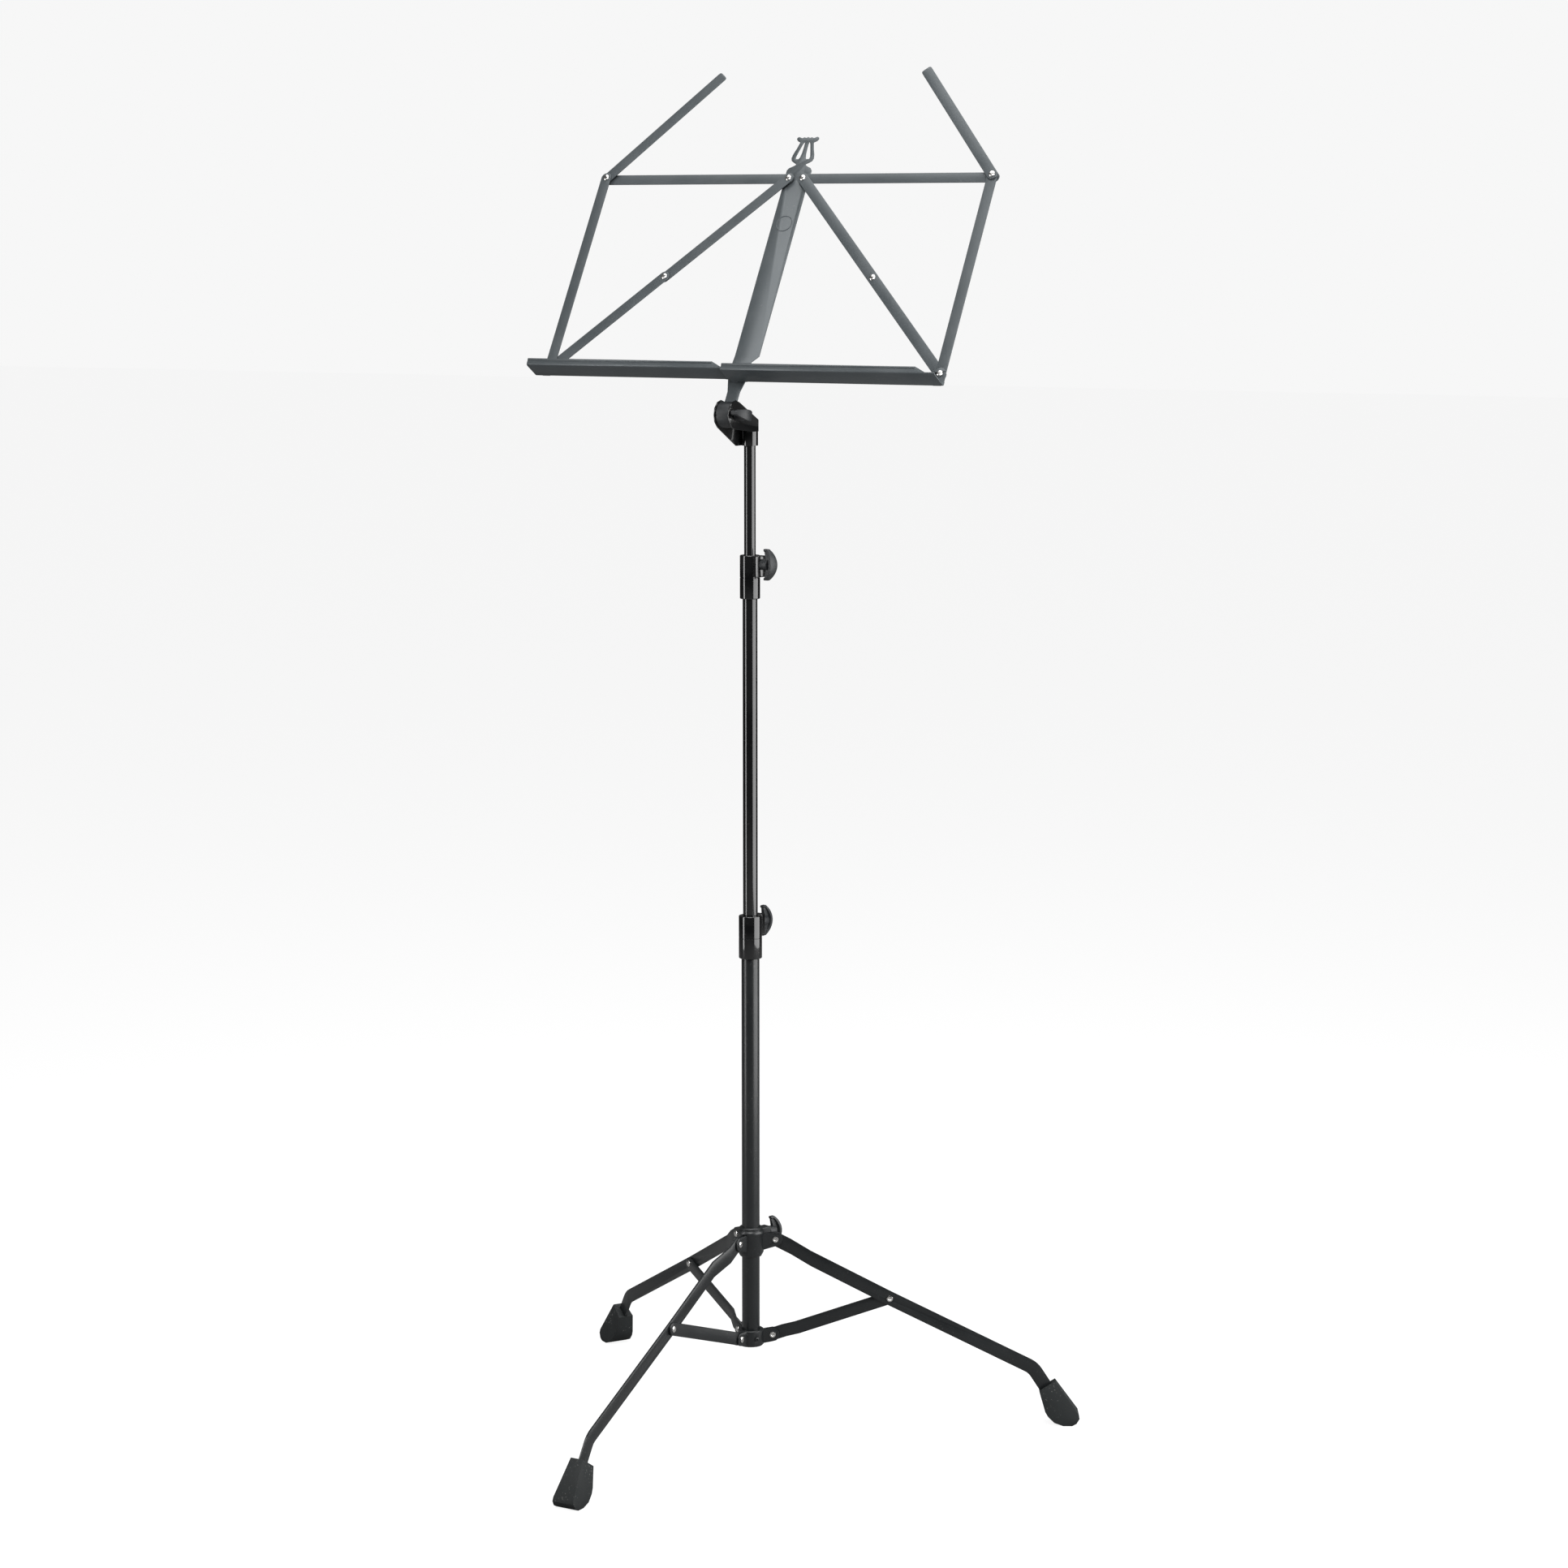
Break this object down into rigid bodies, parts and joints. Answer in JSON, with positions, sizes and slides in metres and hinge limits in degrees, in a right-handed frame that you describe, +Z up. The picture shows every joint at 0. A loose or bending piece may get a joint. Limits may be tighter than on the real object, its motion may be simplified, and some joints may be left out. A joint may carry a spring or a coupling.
{
  "type": "music stand",
  "caption": "Folding music stand: telescopic column on a folding tripod, with a tilting, folding strip-metal desk, split ledge and page arms.",
  "frame": {"origin": "on the floor, at the centre of the whole stand seen from above", "axes": "+X along the desk to the reader's right, -Y towards the reader, +Z up"},
  "size_m": [0.7206, 0.6478, 1.6658],
  "materials": {
    "column_gloss": "gloss black paint",
    "tripod_satin": "satin black powder coat",
    "desk_satin": "satin dark grey powder coat",
    "knob_plastic": "moulded black plastic",
    "foot_rubber": "moulded black rubber",
    "nickel": "bright nickel plate"
  },
  "bodies": {
    "base": {"lower_tube": "tripod_satin", "lower_collar": "tripod_satin", "lower_collar_pin": "tripod_satin", "lower_clamp_sleeve": "column_gloss"},
    "lower_knob": {"lower_clamp_knob": "knob_plastic", "lower_clamp_screw": "nickel"},
    "collar": {"sliding_collar": "tripod_satin"},
    "collar_knob": {"collar_knob": "knob_plastic", "collar_screw": "nickel"},
    "leg_1": {"leg_1": "tripod_satin", "foot_1": "foot_rubber", "leg_rivet_1": "nickel", "cross_rivet_1": "nickel"},
    "strut_1": {"strut_1": "tripod_satin", "strut_rivet_1": "nickel"},
    "leg_2": {"leg_2": "tripod_satin", "foot_2": "foot_rubber", "leg_rivet_2": "nickel", "cross_rivet_2": "nickel"},
    "strut_2": {"strut_2": "tripod_satin", "strut_rivet_2": "nickel"},
    "leg_3": {"leg_3": "tripod_satin", "foot_3": "foot_rubber", "leg_rivet_3": "nickel", "cross_rivet_3": "nickel"},
    "strut_3": {"strut_3": "tripod_satin", "strut_rivet_3": "nickel"},
    "middle_column": {"middle_tube": "column_gloss", "upper_clamp_sleeve": "column_gloss"},
    "upper_knob": {"upper_clamp_knob": "knob_plastic", "upper_clamp_screw": "nickel"},
    "upper_column": {"upper_tube": "column_gloss"},
    "bracket": {"tilt_bracket": "column_gloss", "tilt_bolt": "column_gloss"},
    "tilt_knob": {"tilt_knob": "knob_plastic"},
    "desk": {"desk_plate": "desk_satin", "tilt_drum": "knob_plastic", "centre_rivet_left": "nickel", "centre_rivet_right": "nickel", "ledge_rivet_left": "nickel", "ledge_rivet_right": "nickel"},
    "ledge_left": {"ledge_left": "desk_satin", "ledge_end_rivet_left": "nickel"},
    "top_bar_left": {"top_bar_left": "desk_satin"},
    "side_bar_left": {"side_bar_left": "desk_satin", "corner_rivet_left": "nickel"},
    "upper_diagonal_left": {"upper_diagonal_left": "desk_satin", "elbow_rivet_left": "nickel"},
    "lower_diagonal_left": {"lower_diagonal_left": "desk_satin"},
    "page_arm_left": {"page_arm_left": "desk_satin"},
    "ledge_right": {"ledge_right": "desk_satin", "ledge_end_rivet_right": "nickel"},
    "top_bar_right": {"top_bar_right": "desk_satin"},
    "side_bar_right": {"side_bar_right": "desk_satin", "corner_rivet_right": "nickel"},
    "upper_diagonal_right": {"upper_diagonal_right": "desk_satin", "elbow_rivet_right": "nickel"},
    "lower_diagonal_right": {"lower_diagonal_right": "desk_satin"},
    "page_arm_right": {"page_arm_right": "desk_satin"}
  },
  "joints": [
    {"name": "middle_slide", "type": "slide", "parent": "base", "child": "middle_column", "axis": [0, 0, 1], "range_m": [-0.385, 0.02]},
    {"name": "upper_slide", "type": "slide", "parent": "middle_column", "child": "upper_column", "axis": [0, 0, 1], "range_m": [-0.128, 0.23]},
    {"name": "desk_swivel", "type": "hinge", "parent": "upper_column", "child": "bracket", "pos_m": [-0.01293, 0.08428, 0], "axis": [0, 0, 1], "range_deg": [-180, 180]},
    {"name": "desk_tilt", "type": "hinge", "parent": "bracket", "child": "desk", "pos_m": [-0.01293, 0.03028, 1.252], "axis": [1, 0, 0], "range_deg": [-50, 40]},
    {"name": "lower_knob_turn", "type": "hinge", "parent": "base", "child": "lower_knob", "pos_m": [-0.01103, 0.10605, 0.6285], "axis": [0.0872, 0.9962, 0], "range_deg": [0, 360]},
    {"name": "upper_knob_turn", "type": "hinge", "parent": "middle_column", "child": "upper_knob", "pos_m": [0.00645, 0.07998, 1.0705], "axis": [0.9763, -0.2164, 0], "range_deg": [0, 360]},
    {"name": "collar_knob_turn", "type": "hinge", "parent": "collar", "child": "collar_knob", "pos_m": [-0.00335, 0.11059, 0.236], "axis": [0.342, 0.9397, 0], "range_deg": [0, 360]},
    {"name": "tilt_knob_turn", "type": "hinge", "parent": "bracket", "child": "tilt_knob", "pos_m": [-0.00243, 0.03028, 1.252], "axis": [1, 0, 0], "range_deg": [0, 360]},
    {"name": "collar_slide", "type": "slide", "parent": "base", "child": "collar", "axis": [0, 0, 1], "range_m": [0, 0.18956]},
    {"name": "leg_hinge_1", "type": "hinge", "parent": "collar", "child": "leg_1", "pos_m": [0.01433, 0.09841, 0.2318], "axis": [-0.4602, 0.8878, 0], "range_deg": [0, 58.01]},
    {"name": "strut_hinge_1", "type": "hinge", "parent": "base", "child": "strut_1", "pos_m": [0.01122, 0.0968, 0.1103], "axis": [0.4602, -0.8878, 0], "range_deg": [0, 65.35]},
    {"name": "leg_hinge_2", "type": "hinge", "parent": "collar", "child": "leg_2", "pos_m": [-0.03879, 0.10082, 0.2318], "axis": [-0.5388, -0.8425, 0], "range_deg": [0, 58.01]},
    {"name": "strut_hinge_2", "type": "hinge", "parent": "base", "child": "strut_2", "pos_m": [-0.03585, 0.09893, 0.1103], "axis": [0.5388, 0.8425, 0], "range_deg": [0, 65.35]},
    {"name": "leg_hinge_3", "type": "hinge", "parent": "collar", "child": "leg_3", "pos_m": [-0.01432, 0.05361, 0.2318], "axis": [0.999, -0.0454, 0], "range_deg": [0, 58.01]},
    {"name": "strut_hinge_3", "type": "hinge", "parent": "base", "child": "strut_3", "pos_m": [-0.01416, 0.05711, 0.1103], "axis": [-0.999, 0.0454, 0], "range_deg": [0, 65.35]},
    {"name": "ledge_fold_left", "type": "hinge", "parent": "desk", "child": "ledge_left", "pos_m": [-0.02273, 0.06057, 1.30222], "axis": [0, 0.8563, -0.5165], "range_deg": [0, 90]},
    {"name": "top_bar_fold_left", "type": "hinge", "parent": "desk", "child": "top_bar_left", "pos_m": [-0.02273, 0.20004, 1.53341], "axis": [0, 0.8563, -0.5165], "range_deg": [0, 90]},
    {"name": "side_bar_fold_left", "type": "hinge", "parent": "top_bar_left", "child": "side_bar_left", "pos_m": [-0.27873, 0.20004, 1.53341], "axis": [0, 0.8563, -0.5165], "range_deg": [-90, 0]},
    {"name": "diagonal_fold_left", "type": "hinge", "parent": "desk", "child": "upper_diagonal_left", "pos_m": [-0.02273, 0.20004, 1.53341], "axis": [0, 0.8563, -0.5165], "range_deg": [-43.48, 0]},
    {"name": "elbow_fold_left", "type": "hinge", "parent": "upper_diagonal_left", "child": "lower_diagonal_left", "pos_m": [-0.15555, 0.12768, 1.41347], "axis": [0, 0.8563, -0.5165], "range_deg": [0, 180]},
    {"name": "page_arm_turn_left", "type": "hinge", "parent": "top_bar_left", "child": "page_arm_left", "pos_m": [-0.27873, 0.20004, 1.53341], "axis": [0, 0.8563, -0.5165], "range_deg": [-130, 50]},
    {"name": "ledge_fold_right", "type": "hinge", "parent": "desk", "child": "ledge_right", "pos_m": [-0.00313, 0.06057, 1.30222], "axis": [0, -0.8563, 0.5165], "range_deg": [0, 90]},
    {"name": "top_bar_fold_right", "type": "hinge", "parent": "desk", "child": "top_bar_right", "pos_m": [-0.00313, 0.20004, 1.53341], "axis": [0, -0.8563, 0.5165], "range_deg": [0, 90]},
    {"name": "side_bar_fold_right", "type": "hinge", "parent": "top_bar_right", "child": "side_bar_right", "pos_m": [0.25287, 0.20004, 1.53341], "axis": [0, -0.8563, 0.5165], "range_deg": [-90, 0]},
    {"name": "diagonal_fold_right", "type": "hinge", "parent": "desk", "child": "upper_diagonal_right", "pos_m": [-0.00313, 0.20004, 1.53341], "axis": [0, -0.8563, 0.5165], "range_deg": [-43.48, 0]},
    {"name": "elbow_fold_right", "type": "hinge", "parent": "upper_diagonal_right", "child": "lower_diagonal_right", "pos_m": [0.12969, 0.12768, 1.41347], "axis": [0, -0.8563, 0.5165], "range_deg": [0, 180]},
    {"name": "page_arm_turn_right", "type": "hinge", "parent": "top_bar_right", "child": "page_arm_right", "pos_m": [0.25287, 0.20004, 1.53341], "axis": [0, -0.8563, 0.5165], "range_deg": [-130, 50]}
  ],
  "couplings": [
    {"joint": "leg_hinge_1", "follows": "collar_slide", "rad_per_m": 5.3402},
    {"joint": "strut_hinge_1", "follows": "collar_slide", "rad_per_m": 6.016},
    {"joint": "leg_hinge_2", "follows": "collar_slide", "rad_per_m": 5.3402},
    {"joint": "strut_hinge_2", "follows": "collar_slide", "rad_per_m": 6.016},
    {"joint": "leg_hinge_3", "follows": "collar_slide", "rad_per_m": 5.3402},
    {"joint": "strut_hinge_3", "follows": "collar_slide", "rad_per_m": 6.016},
    {"joint": "top_bar_fold_left", "follows": "ledge_fold_left", "ratio": 1},
    {"joint": "side_bar_fold_left", "follows": "ledge_fold_left", "ratio": -1},
    {"joint": "diagonal_fold_left", "follows": "ledge_fold_left", "ratio": -0.48306},
    {"joint": "elbow_fold_left", "follows": "ledge_fold_left", "ratio": 2},
    {"joint": "top_bar_fold_right", "follows": "ledge_fold_right", "ratio": 1},
    {"joint": "side_bar_fold_right", "follows": "ledge_fold_right", "ratio": -1},
    {"joint": "diagonal_fold_right", "follows": "ledge_fold_right", "ratio": -0.48306},
    {"joint": "elbow_fold_right", "follows": "ledge_fold_right", "ratio": 2}
  ]
}
